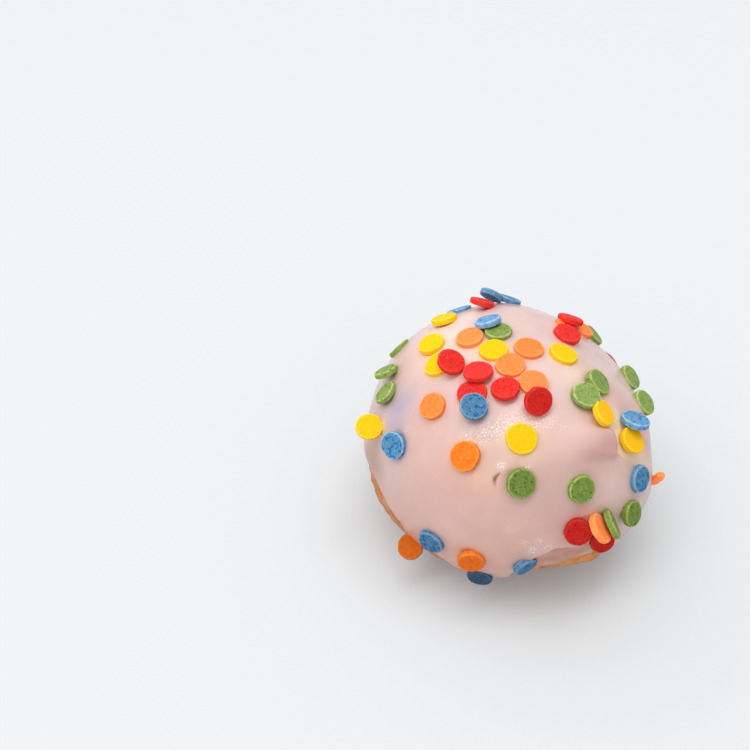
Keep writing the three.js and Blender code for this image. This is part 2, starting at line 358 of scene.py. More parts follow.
# the icing: a thick smooth coat with a rounded lip, and what the pouring left in it
glaze = {
    "thickness": 1.3, "filmThickness": 0.35, "lip": 0.25, "lipSpread": 4.0, "levelEdge": -6.0,
    "around": 520, "outerRings": 150, "lipRings": 10, "innerRings": 11,
    # a swelling with a crisp edge on its right that bows out, and a soft crease along its foot
    "bulge": {
        "edge": 42.0, "edgeHeight": 41.0, "bow": (0.16, 0.06), "crease": 37.5, "dip": 5.5,
        "dipFrom": 20.0, "dipTo": 40.0, "left": (10.0, 32.0), "top": (38.5, 52.0), "rise": 1.15,
        "softening": 2.4, "shadeStrength": 0.6,
        "blunt": (3.2, 1.7), "before": 0.9, "after": 0.6,
        # painted shade along its foot: right of the edge, above the crease, spread, strength
        "shades": [(-4.0, -1.0, 5.0, 1.0), (-13.0, -1.0, 5.5, 0.8)],
    },
    # the sunken strip beside it, down to where the icing rises again
    "valley": {
        "line": (38.5, 33.5), "slope": 1.14, "right": (50.0, 62.0), "top": (44.0, 54.0),
        "depth": 0.3, "edgeBlur": 0.6, "lineBlur": 0.7, "dyeAndPaintedLightShare": 0.7,
    },
    # the thick coat ends along this line, and below it only a thin film is left
    "film": {
        "line": [
            (-4, -14), (-1, -6), (2.5, -2), (7.5, 0.5), (12, 2), (20, 1.5), (27, 0), (33, -4), (39, -11),
        ],
        "drop": 0.8, "blur": 0.9, "bead": 0.12, "beadAbove": 1.6, "beadWidth": 1.5,
        "beyond": 4.0, "ragged": [(0.5, 31.0, 0.0), (0.3, 67.0, 40.0)], "patchy": [(0.3, 4.0, 12)],
    },
    "pit": {
        "bearing": -16.2, "height": 29.6, "halfWidth": 0.6, "halfLength": 2.4, "slant": 0.10,
        "bow": 0.16, "depth": 0.9, "rim": 0.16, "rimAt": 1.7, "rimWidth": 0.5,
    },
    # a small blob over the pit and a dent at the left: bearing, height, spread, how far out
    "blobs": [(-13, 34.4, 1.6, 0.22), (-76, 30, 5, -0.3)],
    # slow swells and short ones, and how the colour drifts by channel: amount, size, seed
    "swells": [(0.16, 17.0, 3), (0.05, 6.0, 4)],
    "drift": [(0.045, 19.0, 8, (0.4, 1.0, 1.3)), (0.02, 6.0, 9, (0.6, 1.0, 1.0))],
    "rimRise": 0.13, "rimWidth": 0.5, "rimAbove": (0.8, 1.6),
    "crownReach": (25, 75), "lowReach": (-25, 25),
    "crownColour": (224, 194, 190), "pink": (212, 173, 163), "low": (210, 162, 148),
    "violet": (176, 160, 180), "grey": (196, 178, 174), "dyed": (248, 220, 178),
    # painted shade colours: the first for the upper front and under the bulge, the second at the left
    # edge, the third at the right edge
    "paintedShadePink": (182, 148, 140), "paintedShadowBrown": (148, 102, 84), "paintedEdgeShade": (210, 142, 130),
    "deepPink": (188, 140, 138), "tan": (190, 154, 132), "spotted": (178, 130, 128),
    "filmColour": (184, 124, 102), "crumbColour": (190, 134, 92),
    # patches of another colour; the darker ones on the upper front, under the bulge, at the left edge
    # and at the right edge are painted shade: bearing, height, spread, colour, strength
    "patches": [
        (-76, 31, 9, "violet", 0.9), (-72, 12, 18, "grey", 0.6), (-90, 20, 16, "violet", 0.4),
        (-74, 4, 9, "paintedShadowBrown", 0.8), (-66, -8, 8, "paintedShadowBrown", 0.35), (-86, 14, 9, "tan", 0.55),
        (-70, 3, 8, "tan", 0.4), (-97, 36, 6, "tan", 0.5),
        (-74, 36, 4, "violet", 0.5), (-70, 27, 4, "violet", 0.5), (-60, 12, 7, "grey", 0.35),
        (8, 20, 8, "spotted", 0.2), (20, 31, 7, "spotted", 0.22), (11, 15, 6, "spotted", 0.25),
        (28, 4, 9, "deepPink", 0.2), (-48, 4, 14, "deepPink", 0.26), (-14, -12, 10, "deepPink", 0.2),
        (-25, 46, 10, "paintedShadePink", 0.65), (-52, 42, 9, "paintedShadePink", 0.2), (6, 36, 8, "paintedShadePink", 0.2),
        (-24, 33, 10, "dyed", 0.16), (-2, 46, 10, "dyed", 0.2), (52, 64, 9, "dyed", 0.25),
        (-95, 62, 12, "dyed", 0.2), (12, 24, 14, "grey", 0.25), (30, 14, 10, "grey", 0.1),
        (33, 23, 9, "crownColour", 0.5), (78, 14, 14, "paintedEdgeShade", 0.3), (64, 23, 8, "paintedEdgeShade", 0.8),
        (-62, 52, 8, "grey", 0.25), (170, 64, 9, "deepPink", 0.2),
        (70, 10, 22, "grey", 0.3), (-150, 30, 14, "violet", 0.3),
        (120, 40, 18, "grey", 0.4), (170, 10, 18, "low", 0.5),
    ],
    # painted glints, white painted into the icing's colour with a coat bump where the pebbled skin
    # catches the light, and a few wet wrinkles: bearing, height, spread, strength
    "glints": [
        (-27, 43.5, 3.2, 0.7), (-22, 47, 3.8, 0.9), (-15, 50, 4.0, 0.9), (-7, 51.5, 3.8, 0.8),
        (1, 51, 3.5, 0.7), (9, 52, 3.2, 0.6), (15, 49, 3.0, 0.4), (-34, 40.5, 2.2, 0.9),
        (-15, 35.0, 1.2, 1.9), (-3.5, 35.8, 1.2, 1.0), (3, 7, 1.8, 0.8), (1, 2.5, 2.0, 1.2),
        (-2.5, 6.5, 1.2, 0.7), (-8, 11.5, 1.2, 0.6), (12, 9, 1.6, 0.6), (18, 15, 1.6, 0.5),
        (6, 4, 1.5, 1.0), (-62, 30, 1.5, 0.6), (40, 29, 2.0, 0.4), (7, 1.5, 1.2, 1.0),
        (-140, 58, 5.0, 0.7), (150, 50, 4.0, 0.6), (100, 40, 4.0, 0.5), (60, 66, 4.0, 0.5),
        (-110, 60, 4.0, 0.5), (180, 66, 5.0, 0.5),
    ],
    # dye run out round each disc; the green and blue ones darkened further as painted contact shade
    "dyeAndContactShade": {
        "yellow": (236, 204, 120), "orange": (226, 158, 122), "red": (216, 116, 106),
        "green": (158, 150, 92), "blue": (136, 132, 152),
    },
    "bleedReach": 0.6, "bleedAbove": (1.0, 2.6), "bleedStrength": 0.5,
}


def aboveFilm(bearing, height):
    # how far a place is above the end of the thick coat, in degrees
    film = glaze["film"]
    line = film["line"]
    beyond = np.maximum(line[0][0] - bearing, 0.0) + np.maximum(bearing - line[-1][0], 0.0)
    ragged = 0.0
    for amount, times, start in film["ragged"]:
        ragged = ragged + amount * np.sin(np.radians(bearing * times + start))
    return height - throughPoints(bearing, line) + film["beyond"] * beyond + ragged


def filmShare(bearing, height):
    # 1 where the icing has run thin under the lower right, 0 on the thick coat
    blur = glaze["film"]["blur"]
    return 1.0 - ease(aboveFilm(bearing, height), -blur, blur)


def bulgeEdge(height):
    # the bearing of the bulge's crisp right edge
    b = glaze["bulge"]
    up = height - b["edgeHeight"]
    return b["edge"] - np.where(up > 0.0, b["bow"][0], b["bow"][1]) * up**2


def bulge(bearing, height):
    # full inside the edge and above the crease, fading to the left and towards the crown
    b = glaze["bulge"]
    edge = bulgeEdge(height)
    crease = b["crease"] - b["dip"] * ease(bearing, b["dipFrom"], b["dipTo"])
    soft = 1.0 + b["softening"] * np.maximum(height - b["edgeHeight"], 0.0)
    blunt = mix(*b["blunt"], ease(bearing, b["dipFrom"], b["dipTo"]))
    inside = 1.0 - ease(bearing, edge - b["before"] * soft, edge + b["after"])
    inside = inside * ease(height, crease - blunt, crease + blunt) * ease(bearing, *b["left"])
    return b["rise"] * inside * (1.0 - ease(height, *b["top"]))


def valley(bearing, height):
    v = glaze["valley"]
    edge = bulgeEdge(np.minimum(height, glaze["bulge"]["edgeHeight"]))
    line = v["line"][1] - v["slope"] * (bearing - v["line"][0])
    inside = ease(bearing, edge - v["edgeBlur"], edge + v["edgeBlur"])
    inside = inside * ease(height, line - v["lineBlur"], line + v["lineBlur"])
    return inside * (1.0 - ease(bearing, *v["right"])) * (1.0 - ease(height, *v["top"]))


def pitReach(bearing, height):
    # 0 in the middle of the small crescent left by a burst bubble, 1 at its edge
    p = glaze["pit"]
    upright = height - p["height"]
    across = (bearing - p["bearing"]) * math.cos(math.radians(p["height"]))
    across = across - p["slant"] * upright - p["bow"] * upright**2
    return np.sqrt((across / p["halfWidth"]) ** 2 + (upright / p["halfLength"]) ** 2)


def glazeRelief(bearing, height, points):
    # swells, runs and pits on the coat, in millimetres outwards
    film = glaze["film"]
    pit = glaze["pit"]
    relief = withWaves(points, glaze["swells"]) + bulge(bearing, height)
    relief = relief - glaze["valley"]["depth"] * valley(bearing, height)
    relief = relief - film["drop"] * filmShare(bearing, height)
    bead = np.exp(-(((aboveFilm(bearing, height) - film["beadAbove"]) / film["beadWidth"]) ** 2))
    reach = pitReach(bearing, height)
    relief = relief + film["bead"] * bead - pit["depth"] * np.exp(-(reach**4))
    relief = relief + pit["rim"] * np.exp(-(((reach - pit["rimAt"]) / pit["rimWidth"]) ** 2))
    return withBells(relief, bearing, height, glaze["blobs"])


def glints(bearing, height):
    total = withBells(np.zeros(np.shape(height)), bearing, height, glaze["glints"])
    return np.minimum(total, 1.0)


def nearConfetti(points):
    # for each disc, how far each point is outside its rim and how far from its plane
    for middle, axis, place in zip(middles, axes, places):
        away = points - middle
        above = away @ axis
        aside = np.sqrt(np.maximum((away**2).sum(-1) - above**2, 0.0))
        yield aside - place[2] / 2, np.abs(above), int(place[6])


def glazeColours(bearing, height, points):
    # pink with peach and violet patches and darker patches of painted shade, dye run out round each disc
    # with painted contact shade by the green and blue ones, painted shade along the bulge's foot,
    # the valley's dye lightened by painted light, and brown under the film
    colour = tinted(linear(*glaze["pink"]), glaze["crownColour"], ease(height, *glaze["crownReach"]))
    colour = mix(linear(*glaze["low"]), colour, ease(height, *glaze["lowReach"])[..., None])
    for amount, size, seed, channels in glaze["drift"]:
        colour = colour * (1.0 + amount * waves(points, size, seed)[..., None] * np.array(channels))
    for atBearing, atHeight, spread, name, strength in glaze["patches"]:
        share = strength * nearness(bearing, height, atBearing, atHeight, spread)
        colour = tinted(colour, glaze[name], share)
    for outside, above, kind in nearConfetti(points):
        share = np.exp(-np.maximum(outside, 0.0) / glaze["bleedReach"])
        share = share * (1.0 - ease(above, *glaze["bleedAbove"])) * glaze["bleedStrength"]
        colour = tinted(colour, glaze["dyeAndContactShade"][kinds[kind]], share)
    # painted shade along the bulge's foot
    b = glaze["bulge"]
    under = 0.0
    for right, up, spread, strength in b["shades"]:
        place = (b["edge"] + right, b["crease"] + up, spread)
        under = under + strength * nearness(bearing, height, *place)
    colour = tinted(colour, glaze["deepPink"], b["shadeStrength"] * np.minimum(under, 1.0))
    # the valley's yellow dye stain, made lighter as painted light against the shade it lies in
    colour = tinted(colour, glaze["dyed"], glaze["valley"]["dyeAndPaintedLightShare"] * valley(bearing, height))
    thin = filmShare(bearing, height) * withWaves(points, glaze["film"]["patchy"], 0.8)
    colour = tinted(colour, glaze["filmColour"], np.clip(thin, 0.0, 1.0))
    return tinted(colour, glaze["crumbColour"], np.exp(-(pitReach(bearing, height) ** 4)))


def icingPiece():
    # the outer face from the crown to the edge, half a turn round the lip, and back up inside
    bearing = -180.0 + 360.0 * np.arange(glaze["around"]) / glaze["around"]
    edge = edgeHeight(bearing)
    down = (np.arange(1, glaze["outerRings"] + 1) / glaze["outerRings"])[:, None]
    height = mix(90.0, mix(glaze["levelEdge"], edge, down**3), down)
    spread = np.broadcast_to(bearing, height.shape)
    radius = glazedRadius(spread, height)
    lip = glaze["lip"] * (1.0 - filmShare(bearing, edge))
    radius = radius + lip * np.exp(-(((height - edge) / glaze["lipSpread"]) ** 2))
    outer = pointAt(spread, height, radius)
    relief = glazeRelief(spread, height, outer)
    for outside, above, _ in nearConfetti(outer):
        ring = np.exp(-((outside / glaze["rimWidth"]) ** 2)) * (1.0 - ease(above, *glaze["rimAbove"]))
        relief = relief + glaze["rimRise"] * ring
    radius = radius + relief

    thickness = mix(glaze["thickness"], glaze["filmThickness"], filmShare(bearing, edge))
    turn = (np.pi * np.arange(1, glaze["lipRings"] + 1) / glaze["lipRings"])[:, None]
    lipRadius = radius[-1] - thickness / 2 * (1.0 - np.cos(turn))
    lipHeight = edge - np.degrees(thickness / 2 * np.sin(turn) / radius[-1])
    back = (np.arange(1, glaze["innerRings"] + 1) / (glaze["innerRings"] + 1.0))[:, None]
    innerHeight = mix(edge, 90.0, back)
    innerSpread = np.broadcast_to(bearing, innerHeight.shape)
    innerRadius = glazedRadius(innerSpread, innerHeight) - glaze["thickness"]
    innerRadius = mix(lipRadius[-1] + 0.0 * back, innerRadius, np.minimum(back * 4.0, 1.0))

    heights = np.concatenate([height, lipHeight, innerHeight])
    radii = np.concatenate([radius, lipRadius, innerRadius])
    spreads = np.broadcast_to(bearing, heights.shape)
    rings = pointAt(spreads, heights, radii)
    crown = pointAt(np.zeros(1), np.full(1, 90.0), radius[0].mean(keepdims=True))
    inside = crown - [0.0, 0.0, glaze["thickness"]]
    piece = closedSurface("icing_coat", rings[None], crown, inside)
    addTint(piece, glazeColours(spreads, heights, rings), glaze["pink"])
    addValue(piece, "glint", np.append(glints(spreads, heights).ravel(), [0.0, 0.0]))
    return piece


# the crust: golden brown, with folds, cracks and smears of icing where it is bare
crust = {
    "setBack": 0.35, "cragDepth": 0.65,
    # cheeks where the crust is smooth: bearing, height, spread, set-back, colour
    "evenCheeks": [(-52, -14, 34, -0.15, (188, 116, 66)), (22, -14, 26, 0.75, (222, 140, 64))],
    "evenShare": 0.92, "tuckUp": 2.5, "tuckDown": 5.0, "inset": 1.6,
    "smoothFrom": -62.0, "smoothTo": -45.0, "around": 500, "hiddenRings": 14, "bareRings": 165,
    "bareFrom": 14.0,
    # thin valleys in the crust: depth, size, seed, width; and icing smeared on it below the lip
    "cracks": [(1.0, 13.0, 21, 0.35), (0.45, 6.0, 22, 0.4)], "crackDepth": 0.5, "crackDark": 0.8,
    "smears": [(1.0, 5.0, 31), (0.5, 2.4, 32)], "smearFrom": (0.05, 0.35), "smearReach": 9.0,
    "smearTop": 3.0, "smearOff": 0.8, "smearRise": 0.22, "smearShare": 0.9,
    # waves as amount, size and seed: the grain, the brown of the crust and that of the cheeks
    "grain": [(0.10, 2.6, 41), (0.05, 1.3, 42)], "lowGrain": 0.25, "grainPale": 4.0,
    "brown": [(0.5, 9.0, 51), (0.25, 3.0, 52)], "cheekBrown": [(0.25, 3.0, 53)],
    "paleFrom": (0.3, 1.2), "paleShare": 0.45,
    "golden": (214, 142, 74), "toasted": (160, 88, 34), "dark": (98, 46, 16),
    "pale": (226, 178, 124), "smear": (220, 168, 142),
}


def evenCrust(bearing, height):
    # how much of each smooth cheek is at a place
    return [nearness(bearing, height, *cheek[:3]) for cheek in crust["evenCheeks"]]


def crags(bearing, height):
    b = np.radians(bearing)
    h = np.radians(height)
    folds = np.sin(6 * b + 2.2 * np.sin(3 * b + 1) + 5 * h)
    ridges = np.sin(11 * b - 9 * h + 1.7 * np.sin(5 * h + 2 * b))
    calm = ease(height, crust["smoothFrom"], crust["smoothTo"])
    calm = calm * (1.0 - crust["evenShare"] * np.minimum(sum(evenCrust(bearing, height)), 1.0))
    return crust["cragDepth"] * (0.6 * folds + 0.4 * ridges) * calm


def cracks(points):
    # thin valleys where slow fields cross zero, longer round the bun than up it
    flat = points * np.array([1.0, 1.0, 1.9])
    total = 0.0
    for amount, size, seed, width in crust["cracks"]:
        narrow = 1.0 - np.minimum(np.abs(waves(flat, size, seed)) / width, 1.0)
        total = total + amount * narrow**1.5
    return np.clip(total, 0.0, 1.3)


def smears(bearing, height, points):
    # icing left on the crust under the lip, in patches that end in ragged tongues
    below = edgeHeight(bearing) - height
    field = withWaves(points, crust["smears"]) - below / crust["smearReach"]
    even = np.minimum(sum(evenCrust(bearing, height)), 1.0)
    shown = (below > -crust["smearTop"]) * (1.0 - crust["smearOff"] * even)
    return ease(field, *crust["smearFrom"]) * shown


def crustPiece():
    bearing = -180.0 + 360.0 * np.arange(crust["around"]) / crust["around"]
    hidden = np.linspace(90.0, crust["bareFrom"], crust["hiddenRings"] + 1)[1:]
    bare = np.linspace(crust["bareFrom"], -90.0, crust["bareRings"] + 1)[1:-1]
    height, spread = np.meshgrid(np.concatenate([hidden, bare]), bearing, indexing="ij")
    edge = edgeHeight(spread)
    covered = ease(height, edge - crust["tuckDown"], edge + crust["tuckUp"])
    rough = pointAt(spread, height, bunRadius(spread, height))
    smear = smears(spread, height, rough)
    calm = ease(height, crust["smoothFrom"], crust["smoothTo"])
    grain = withWaves(rough, crust["grain"])
    even = evenCrust(spread, height)
    crack = cracks(rough) * (1.0 - np.minimum(sum(even), 1.0)) ** 2
    detail = (grain - crust["crackDepth"] * crack) * mix(crust["lowGrain"], 1.0, calm)
    detail = detail + crust["smearRise"] * smear
    setBack = crust["setBack"]
    for share, cheek in zip(even, crust["evenCheeks"]):
        setBack = mix(setBack, cheek[3], np.minimum(1.3 * share, 1.0))
    inset = mix(setBack - crags(spread, height) - detail, crust["inset"], covered)
    radius = bunRadius(spread, height) - inset
    radius = standing(radius, height, bun["girthLevel"] + bun["footPress"])
    rings = pointAt(spread, height, radius)
    rings[..., 2] = np.maximum(rings[..., 2], 0.0)
    crown = pointAt(np.zeros(1), np.full(1, 90.0), np.full(1, bun["crown"] - crust["inset"]))
    piece = closedSurface("choux_crust", rings[None], crown, np.zeros((1, 3)))

    tone = np.clip(withWaves(rough, crust["brown"], 0.5), 0, 1)
    colour = tinted(linear(*crust["toasted"]), crust["golden"], tone)
    colour = tinted(colour, crust["dark"], crust["crackDark"] * np.clip(crack, 0, 1))
    high = crags(spread, height) / crust["cragDepth"] + crust["grainPale"] * grain
    colour = tinted(colour, crust["pale"], crust["paleShare"] * ease(high, *crust["paleFrom"]))
    uneven = withWaves(rough, crust["cheekBrown"], 0.8)
    for share, cheek in zip(even, crust["evenCheeks"]):
        colour = tinted(colour, cheek[4], np.clip(share * uneven, 0, 1))
    addTint(piece, tinted(colour, crust["smear"], crust["smearShare"] * smear), crust["toasted"])
    addValue(piece, "wet", np.append(smear.ravel(), [0.0, 0.0]))
    return piece


def confettiRings(kind):
    # a rounded rim carried round each disc: a flat face, a quarter turn, the side, and back
    chosen = places[:, 6] == kind
    count = int(chosen.sum())
    random = np.random.default_rng(70 + kind)
    half = confetti["thickness"] / 2
    rim = confetti["rim"]
    turn = np.radians(np.linspace(0.0, 90.0, 5))
    inward = np.append(confetti["faceRings"], rim * (1 - np.sin(turn)))
    upward = np.append([half, half], half - rim + rim * np.cos(turn))
    inward = np.concatenate([inward, [0.0], inward[::-1]])
    upward = np.concatenate([upward, [0.0], -upward[::-1]])
    angle = 2 * np.pi * np.arange(confetti["around"]) / confetti["around"]
    phase = random.uniform(0, 2 * np.pi, (5, count, 1, 1))
    waving = zip(confetti["wobble"], phase)
    wobble = sum(share * np.sin(times * angle + start) for (share, times), start in waving)
    radius = places[chosen, 2][:, None, None] / 2 * (1 + wobble) - inward[None, :, None]
    chip = np.exp(-(((angle - phase[4] + np.pi) % (2 * np.pi) - np.pi) / confetti["chipWidth"]) ** 2)
    onRim = np.clip(1.0 - inward / confetti["rimReach"], 0, 1)[None, :, None]
    radius = radius - confetti["chipDepth"] * chip * onRim
    ribs = np.sin(31 * angle + 3 * np.sin(2 * angle + phase[2])) + 0.6 * np.sin(43 * angle + phase[0])
    radius = radius + confetti["ribs"] * ribs * onRim
    uneven = 0.03 * np.sin(2 * angle + phase[1]) + 0.02 * np.sin(5 * angle + phase[3])
    level = upward[None, :, None] + 0.0 * angle + uneven * np.sign(upward)[None, :, None] * 0.6
    frameAcross = acrosses[chosen][:, None, None, :] * (radius * np.cos(angle))[..., None]
    frameAlong = alongs[chosen][:, None, None, :] * (radius * np.sin(angle))[..., None]
    rings = middles[chosen][:, None, None, :] + frameAcross + frameAlong
    rings = rings + axes[chosen][:, None, None, :] * level[..., None]
    first = middles[chosen] + axes[chosen] * half
    last = middles[chosen] - axes[chosen] * half
    return rings, first, last


def confettiPiece(kind):
    rings, first, last = confettiRings(kind)
    piece = closedSurface("confetti_" + kinds[kind], rings, first, last)
    random = np.random.default_rng(90 + kind)
    chosen = places[:, 6] == kind
    # painted light and shade: lighter facing up, darker facing the side and low down, times a tone that
    # varies at random
    upright = ease(axes[chosen][:, 2], 0.1, 1.0)
    low = ease(-places[chosen, 1], confetti["lowFrom"], confetti["lowTo"])
    shade = mix(confetti["shadedFacingSide"], confetti["litFacingUp"], upright) * (1.0 - confetti["shadedLowDown"] * low)
    shade = shade * random.uniform(*confetti["toneSpread"], len(rings))
    for atBearing, atHeight, tone in confetti["paintedLightAndShade"]:
        there = np.abs(places[chosen, 0] - atBearing) + np.abs(places[chosen, 1] - atHeight) < 0.1
        shade = np.where(there, shade * tone, shade)
    each = np.repeat(shade, rings.shape[1] * rings.shape[2])
    addValue(piece, "shade", np.concatenate([each, shade, shade]))
    # painted highlight along the rim, ring by ring
    onRim = np.broadcast_to(np.array(confetti["rimHighlightLine"])[:, None], rings.shape[:3]).ravel()
    addValue(piece, "rim", np.concatenate([onRim, 0.0 * shade, 0.0 * shade]))
    return piece


# a broken bit of a disc, stuck to the right cheek
brokenBit = {
    "bearing": 63, "height": 6, "width": 1.6, "length": 3.4, "depth": 1.6, "turn": 35, "raised": 0.8,
    "around": 36, "rows": 17, "steepest": 80.0, "squareness": 0.5,
    "crumble": [(0.07, 2.2, 61)], "tone": 1.3, "rim": 0.3,
}


def brokenBitPiece():
    # a box with rounded corners and a crumbled surface, as a superellipsoid with waves added
    b = brokenBit
    point, normal, up, right = surfaceAt(b["bearing"], b["height"])
    rise = np.radians(np.linspace(b["steepest"], -b["steepest"], b["rows"]))[:, None]
    angle = 2 * np.pi * np.arange(b["around"]) / b["around"]

    def squared(value):
        return np.sign(value) * np.abs(value) ** b["squareness"]

    unit = np.stack([
        squared(np.cos(rise)) * squared(np.cos(angle)),
        squared(np.cos(rise)) * squared(np.sin(angle)),
        squared(np.sin(rise)) + 0.0 * angle,
    ], -1)
    turn = math.radians(b["turn"])
    outward = normal * math.cos(turn) - up * math.sin(turn)
    length = up * math.cos(turn) + normal * math.sin(turn)
    half = np.array([b["width"], b["length"], b["depth"]]) / 2
    spin = np.stack([right, length, outward])

    def placed(shape):
        crumbled = shape * half * withWaves(shape * half * 3.0, b["crumble"], 1)[..., None]
        return point + normal * b["raised"] + crumbled @ spin

    ends = placed(np.array([[0.0, 0.0, 1.0], [0.0, 0.0, -1.0]]))
    piece = closedSurface("confetti_bit", placed(unit)[None], ends[:1], ends[1:])
    # the shade value the discs carry for painted light and shade, here making the bit lighter, and a rim
    # value for its painted rim highlight
    addValue(piece, "shade", np.full(len(piece.data.vertices), b["tone"]))
    addValue(piece, "rim", np.full(len(piece.data.vertices), b["rim"]))
    return piece


def setInputs(tree, node, inputs):
    # each input, by name or number, linked to a socket or set to a value
    for key, value in inputs.items():
        if isinstance(value, bpy.types.NodeSocket):
            tree.links.new(value, node.inputs[key])
        else:
            node.inputs[key].default_value = value


def newMaterial(name, inputs):
    # a Principled surface with its constant values on its own sockets
    material = bpy.data.materials.new(name)
    material.use_nodes = True
    shader = material.node_tree.nodes["Principled BSDF"]
    setInputs(material.node_tree, shader, inputs)
    return material, material.node_tree, shader


def addNode(tree, kind, inputs, **traits):
    node = tree.nodes.new("ShaderNode" + kind)
    for trait, value in traits.items():
        setattr(node, trait, value)
    setInputs(tree, node, inputs)
    return node


def noiseNode(tree, scale, detail=2.0, roughness=0.55):
    # noise on the object's own coordinates, which are in metres
    place = addNode(tree, "TexCoord", {}).outputs["Object"]
    inputs = {"Vector": place, "Scale": scale, "Detail": detail, "Roughness": roughness}
    return addNode(tree, "TexNoise", inputs).outputs["Fac"]


def rangeNode(tree, source, low, high, toLow, toHigh):
    # source from low to high becomes toLow to toHigh
    inputs = {"Value": source, "From Min": low, "From Max": high, "To Min": toLow, "To Max": toHigh}
    return addNode(tree, "MapRange", inputs).outputs["Result"]


def bumpNode(tree, height, distance, before=None):
    inputs = {"Height": height, "Distance": distance, "Strength": 1.0}
    if before is not None:
        inputs["Normal"] = before
    return addNode(tree, "Bump", inputs).outputs["Normal"]


def colourMix(tree, share, first, second, kind="MIX"):
    # first and second are sockets or plain colours, share a socket or a number
    inputs = {0: share}
    for key, side in ((6, first), (7, second)):
        inputs[key] = side if isinstance(side, bpy.types.NodeSocket) else (*side, 1.0)
    return addNode(tree, "Mix", inputs, data_type="RGBA", blend_type=kind).outputs[2]


def timesNode(tree, first, second):
    return addNode(tree, "Math", {0: first, 1: second}, operation="MULTIPLY").outputs[0]


def greyOf(tree, value):
    # a grey colour with this value in each channel
    return addNode(tree, "CombineColor", {0: value, 1: value, 2: value}).outputs[0]


def attributeNode(tree, name, output="Fac"):
    return addNode(tree, "Attribute", {}, attribute_name=name).outputs[output]


noiseSpan = (0.3, 0.7)  # where most of a noise's values lie
icingLook = {
    "roughness": (0.38, 0.50), "subsurface": 0.35, "depth": 0.0022, "pebble": 0.00009,
    "pebbleScale": 3000.0, "ripple": 0.00007, "rippleScale": 520.0, "mottle": 0.05,
    "mottleScale": 260.0, "glossScale": 900.0, "coat": 0.7, "coatRoughness": 0.10,
    "fleck": 0.00006, "fleckScale": 3500.0, "fleckFrom": (0.50, 0.66), "paintedGlintShare": 0.6,
}


def icingMaterial():
    look = icingLook
    material, tree, shader = newMaterial("icing_pink", {
        "Subsurface Weight": look["subsurface"], "Subsurface Scale": look["depth"],
        "Subsurface Radius": (1.0, 0.55, 0.42), "IOR": 1.45, "Specular IOR Level": 0.25,
        "Coat Weight": look["coat"], "Coat Roughness": look["coatRoughness"], "Coat IOR": 1.45,
    })
    tint = attributeNode(tree, "tint", "Color")
    mottle = noiseNode(tree, look["mottleScale"], 4.0)
    lightness = rangeNode(tree, mottle, *noiseSpan, 1 - look["mottle"], 1.0)
    base = colourMix(tree, 1.0, tint, greyOf(tree, lightness), "MULTIPLY")
    # painted glints: small white flecks painted into the colour, and bumped in the coat, where the skin
    # is pebbled
    flecks = noiseNode(tree, look["fleckScale"], 1.0)
    sharp = rangeNode(tree, flecks, *look["fleckFrom"], 0.0, look["paintedGlintShare"])
    glint = timesNode(tree, sharp, attributeNode(tree, "glint"))
    gloss = noiseNode(tree, look["glossScale"])
    soft = bumpNode(tree, noiseNode(tree, look["rippleScale"]), look["ripple"])
    fine = bumpNode(tree, noiseNode(tree, look["pebbleScale"], 1.0), look["pebble"], soft)
    setInputs(tree, shader, {
        "Base Color": colourMix(tree, glint, base, np.ones(3)),
        "Roughness": rangeNode(tree, gloss, *noiseSpan, *look["roughness"]),
        "Normal": soft, "Coat Normal": bumpNode(tree, glint, look["fleck"], fine),
    })
    return material


crustLook = {
    "roughness": (0.42, 0.75), "wetRoughness": 0.3, "patchScale": 700.0, "grain": 0.00022,
    "grainScale": 900.0, "speckScale": 1500.0, "speckFrom": (0.45, 0.75), "specks": 0.55,
}


def crustMaterial():
    look = crustLook
    material, tree, shader = newMaterial("crust_browned", {
        "Subsurface Weight": 0.12, "Subsurface Scale": 0.001, "Subsurface Radius": (1.0, 0.45, 0.2),
        "IOR": 1.45,
    })
    tint = attributeNode(tree, "tint", "Color")
    speck = noiseNode(tree, look["speckScale"], 4.0, 0.65)
    share = rangeNode(tree, speck, *look["speckFrom"], 0.0, look["specks"])
    patch = noiseNode(tree, look["patchScale"], 3.0)
    dry = rangeNode(tree, patch, *noiseSpan, *look["roughness"])
    rough = {0: attributeNode(tree, "wet"), 2: dry, 3: look["wetRoughness"]}
    grain = noiseNode(tree, look["grainScale"], 5.0, 0.6)
    setInputs(tree, shader, {
        "Base Color": colourMix(tree, share, tint, linear(*crust["dark"])),
        "Roughness": addNode(tree, "Mix", rough).outputs[0],
        "Normal": bumpNode(tree, grain, look["grain"]),
    })
    return material


